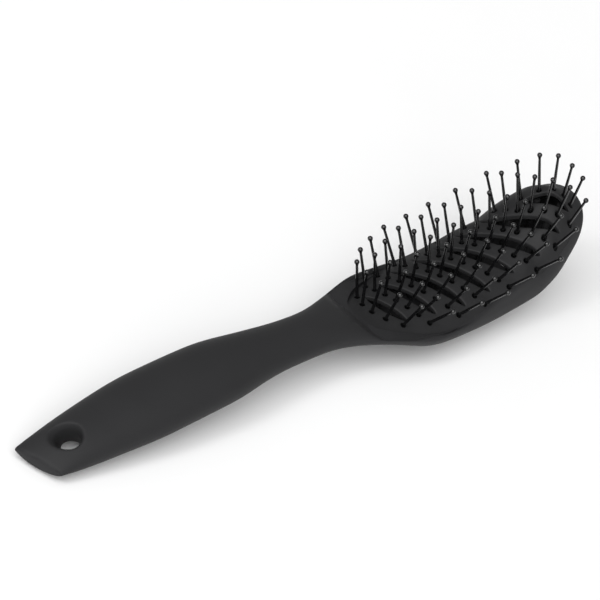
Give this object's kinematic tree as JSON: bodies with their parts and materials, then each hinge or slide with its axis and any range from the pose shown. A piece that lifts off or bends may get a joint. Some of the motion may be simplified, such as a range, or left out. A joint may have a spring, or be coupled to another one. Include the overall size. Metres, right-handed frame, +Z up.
{
  "type": "vented hair brush",
  "caption": "Curved vented hair brush: slim tapered handle with a hang hole, long crowned head with slanted slots and rows of flexible ball-tipped pins",
  "frame": {"origin": "centre of the bounding box at the surface that the brush lies on", "axes": "+X along the brush from the handle end to the head's tip, +Y across, +Z up, away from the surface, roughly along the pins"},
  "size_m": [0.2454, 0.0487, 0.0556],
  "materials": {
    "coated_shell": "soft-touch coating",
    "grille": "fine matte moulding",
    "pins": "polished nylon"
  },
  "bodies": {
    "root": {"handle_end": "coated_shell", "front_shell": "coated_shell", "back_shell": "coated_shell", "vent_grille": "grille", "pin_strip_1": "pins", "pin_strip_2": "pins", "pin_strip_3": "pins", "pin_strip_4": "pins", "pin_strip_5": "pins", "pin_strip_6": "pins", "pin_strip_7": "pins", "pin_strip_8": "pins", "pin_strip_9": "pins"}
  },
  "joints": []
}
